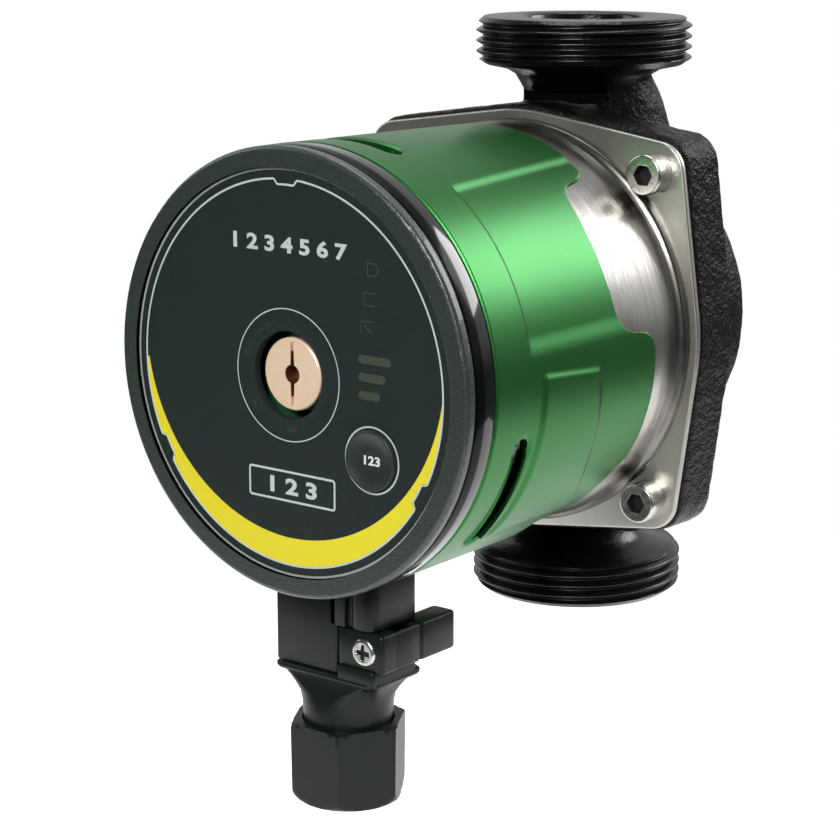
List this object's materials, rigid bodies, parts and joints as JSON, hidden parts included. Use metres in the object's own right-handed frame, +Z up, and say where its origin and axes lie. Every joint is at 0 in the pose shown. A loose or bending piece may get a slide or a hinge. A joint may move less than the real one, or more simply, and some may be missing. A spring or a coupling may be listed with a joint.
{
  "type": "circulator pump",
  "caption": "Wet-rotor heating circulator pump with a cast in-line casing, a green motor shell, a round control front with a vent plug, and a screw-locked plug below.",
  "frame": {"origin": "centre of the lower port's flat sealing face, on the pipe's axis", "axes": "+Z up the pipe through both ports, -Y out of the motor's front cover, +X to the right seen from the front"},
  "size_m": [0.0924, 0.125, 0.1574],
  "materials": {
    "casting": "black painted rough casting",
    "stainless": "drawn stainless sheet, satin",
    "steel": "bright zinc plated steel",
    "moulded_grey": "moulded engineering plastic",
    "carbon": "carbon graphite",
    "magnet": "bonded ferrite",
    "rubber": "black EPDM rubber",
    "copper": "polished copper coloured plug and wire",
    "cast_aluminium": "die cast aluminium",
    "green_paint": "satin metallic green paint",
    "black_gloss": "glossy black plastic",
    "black_matte": "satin black glass-filled nylon",
    "board": "printed circuit board",
    "lens": "smoked light guide",
    "smoky_clear": "smoky clear polycarbonate",
    "brass": "tinned brass"
  },
  "bodies": {
    "pump": {"pump_casing": "casting", "neck_ring": "stainless", "bearing_plate": "stainless", "rear_bearing": "carbon", "front_bearing": "carbon", "bearing_carrier": "stainless", "rotor_can": "stainless", "casing_seal": "rubber", "stator_core": "steel", "coil_bobbins": "moulded_grey", "stator_coils": "copper", "end_shield": "cast_aluminium", "motor_housing": "stainless", "housing_screws": "steel", "motor_shell": "green_paint", "control_housing": "black_gloss", "control_board": "board", "board_components": "black_matte", "display_board": "board", "led_chips": "moulded_grey", "led_lenses": "lens", "button_switch": "black_matte", "face_panel": "black_gloss", "cover_seal": "rubber", "front_cover": "smoky_clear", "vent_sleeve": "stainless", "socket_housing": "black_matte", "socket_pins": "brass"},
    "rotor": {"impeller": "moulded_grey", "motor_shaft": "steel", "thrust_washer": "carbon", "rotor_core": "steel", "rotor_magnet": "magnet", "rotor_sleeve": "stainless"},
    "button": {"mode_button": "black_matte"},
    "vent_seal": {"vent_plug_seal": "rubber"},
    "vent_plug": {"vent_plug": "copper"},
    "plug": {"plug_body": "black_matte", "plug_contacts": "brass", "plug_latch": "black_matte", "plug_screw": "steel", "gland_seal": "rubber"},
    "gland_ring": {"gland_slip_ring": "moulded_grey"},
    "gland_nut": {"gland_nut": "black_matte"}
  },
  "joints": [
    {"name": "rotor_spin", "type": "hinge", "parent": "pump", "child": "rotor", "pos_m": [0, -0.04, 0.065], "axis": [0, -1, 0], "continuous": true},
    {"name": "button_press", "type": "slide", "parent": "pump", "child": "button", "axis": [0, 1, 0], "range_m": [0, 0.0005], "stiffness_N_per_m": 600, "springref_m": -0.0004},
    {"name": "vent_plug_travel", "type": "slide", "parent": "pump", "child": "vent_seal", "axis": [0, -1, 0], "range_m": [0, 0.012]},
    {"name": "vent_plug_turn", "type": "hinge", "parent": "vent_seal", "child": "vent_plug", "pos_m": [0, -0.095, 0.065], "axis": [0, -1, 0], "range_deg": [0, 4320]},
    {"name": "plug_pull", "type": "slide", "parent": "pump", "child": "plug", "axis": [0, 0, -1], "range_m": [0, 0.02]},
    {"name": "gland_nut_travel", "type": "slide", "parent": "plug", "child": "gland_ring", "axis": [0, 0, -1], "range_m": [0, 0.0135]},
    {"name": "gland_nut_turn", "type": "hinge", "parent": "gland_ring", "child": "gland_nut", "pos_m": [0, -0.0825, -0.02], "axis": [0, 0, -1], "range_deg": [0, 3240]}
  ],
  "couplings": [
    {"joint": "vent_plug_travel", "follows": "vent_plug_turn", "m_per_rad": 0.00015915},
    {"joint": "gland_nut_travel", "follows": "gland_nut_turn", "m_per_rad": 0.00023873}
  ]
}
